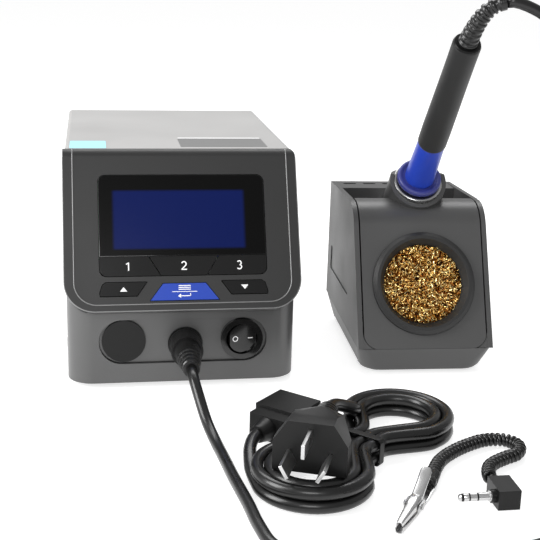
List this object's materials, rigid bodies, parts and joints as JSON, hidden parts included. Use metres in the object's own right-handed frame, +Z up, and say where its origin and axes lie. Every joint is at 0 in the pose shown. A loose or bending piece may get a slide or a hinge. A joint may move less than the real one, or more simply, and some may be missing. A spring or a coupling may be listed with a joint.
{
  "type": "soldering iron station",
  "caption": "Benchtop soldering station: grey control unit with sloping display panel and keys, holder stand with brass-wool cleaner, blue-collared iron on its cable, mains and ground leads",
  "frame": {"origin": "centre of the footprint of the control unit, stand and iron, on the table plane under the feet", "axes": "+X to the right as seen by the user in front of the panel, +Y to the rear, +Z up"},
  "size_m": [0.2938, 0.3824, 0.2137],
  "materials": {
    "body_grey": "fine satin texture, moulded",
    "panel_grey": "satin, slightly metallic",
    "case_metal": "light grey fine-texture powder coat",
    "dark_metal": "grey powder coat",
    "black_plastic": "fine matt texture",
    "key_black": "satin",
    "gloss_black": "polished",
    "menu_blue": "satin gloss",
    "lcd_blue": "polished display glass",
    "board_green": "solder mask",
    "winding": "tape over the winding",
    "core_iron": "laminated, varnished",
    "sink_alu": "extruded",
    "steel": "brushed",
    "chrome": "plated",
    "glass_clear": "clear",
    "foot_rubber": "matt",
    "mat_rubber": "matt",
    "cord_black": "smooth, slightly glossy",
    "iron_blue": "satin gloss",
    "grip_black": "matt sleeve",
    "brass": "shaved curls",
    "tip_steel": "plated"
  },
  "bodies": {
    "root": {"base_chassis": "dark_metal", "top_cover": "case_metal", "rear_panel": "dark_metal", "front_housing": "body_grey", "panel_plate": "panel_grey", "display_window": "gloss_black", "lcd_module": "lcd_blue", "display_board": "board_green", "key_mat": "mat_rubber", "port_plate": "body_grey", "blank_cap": "black_plastic", "iron_socket": "black_plastic", "switch_housing": "gloss_black", "main_board": "board_green", "board_capacitors": "black_plastic", "transformer_core": "core_iron", "transformer_coil": "winding", "heat_sink": "sink_alu", "mains_inlet": "black_plastic", "inlet_pins": "chrome", "ground_jack": "chrome", "station_feet": "foot_rubber", "cover_screws": "steel", "stand_body": "body_grey", "stand_cover": "panel_grey", "stand_base": "body_grey", "holder_tube": "steel", "ballast_plate": "steel", "stand_feet": "foot_rubber", "stand_screws": "steel", "iron_plug": "black_plastic", "plug_boot": "cord_black", "iron_cable": "cord_black", "cable_coil": "cord_black", "mains_hank": "cord_black", "mains_cord": "cord_black", "mains_plug": "black_plastic", "plug_pins": "chrome", "mains_connector": "black_plastic", "cord_tie": "black_plastic", "ground_lead": "cord_black", "clip_body": "chrome", "ground_plug": "black_plastic"},
    "key_1_body": {"key_1": "key_black"},
    "key_2_body": {"key_2": "key_black"},
    "key_3_body": {"key_3": "key_black"},
    "key_up_body": {"key_up": "key_black"},
    "key_down_body": {"key_down": "key_black"},
    "key_menu_body": {"key_menu": "menu_blue"},
    "rocker": {"switch_rocker": "gloss_black"},
    "cleaner": {"cleaner_cup": "black_plastic", "brass_wool": "brass"},
    "iron": {"iron_flange": "iron_blue", "iron_nose": "iron_blue", "iron_grip": "grip_black", "iron_boot": "cord_black", "iron_tip": "tip_steel"},
    "fuse_holder": {"fuse_drawer": "black_plastic", "fuse": "glass_clear"},
    "clip_lever": {"clip_jaw": "chrome"}
  },
  "joints": [
    {"name": "key_1_press", "type": "slide", "parent": "root", "child": "key_1_body", "axis": [0, 0.8988, -0.4384], "range_m": [0, 0.0008], "stiffness_N_per_m": 400, "springref_m": -0.0004},
    {"name": "key_2_press", "type": "slide", "parent": "root", "child": "key_2_body", "axis": [0, 0.8988, -0.4384], "range_m": [0, 0.0008], "stiffness_N_per_m": 400, "springref_m": -0.0004},
    {"name": "key_3_press", "type": "slide", "parent": "root", "child": "key_3_body", "axis": [0, 0.8988, -0.4384], "range_m": [0, 0.0008], "stiffness_N_per_m": 400, "springref_m": -0.0004},
    {"name": "key_up_press", "type": "slide", "parent": "root", "child": "key_up_body", "axis": [0, 0.8988, -0.4384], "range_m": [0, 0.0008], "stiffness_N_per_m": 400, "springref_m": -0.0004},
    {"name": "key_down_press", "type": "slide", "parent": "root", "child": "key_down_body", "axis": [0, 0.8988, -0.4384], "range_m": [0, 0.0008], "stiffness_N_per_m": 400, "springref_m": -0.0004},
    {"name": "key_menu_press", "type": "slide", "parent": "root", "child": "key_menu_body", "axis": [0, 0.8988, -0.4384], "range_m": [0, 0.0008], "stiffness_N_per_m": 400, "springref_m": -0.0004},
    {"name": "switch_rock", "type": "hinge", "parent": "root", "child": "rocker", "pos_m": [-0.02705, -0.06275, 0.0266], "axis": [0, 0, 1], "range_deg": [-20, 0]},
    {"name": "cleaner_pull", "type": "slide", "parent": "root", "child": "cleaner", "axis": [-0.0409, -0.9001, 0.4337], "range_m": [0, 0.05]},
    {"name": "iron_lift", "type": "slide", "parent": "root", "child": "iron", "axis": [-0.0306, -0.6749, 0.7373], "range_m": [0, 0.12], "deforming": ["iron_cable"]},
    {"name": "fuse_drawer_slide", "type": "slide", "parent": "root", "child": "fuse_holder", "axis": [0, 1, 0], "range_m": [0, 0.012]},
    {"name": "clip_open", "type": "hinge", "parent": "root", "child": "clip_lever", "pos_m": [0.02709, -0.21889, 0.0045], "axis": [-0.829, 0.5592, 0], "range_deg": [0, 25], "stiffness_Nm_per_rad": 0.02, "springref_deg": -11.46}
  ]
}
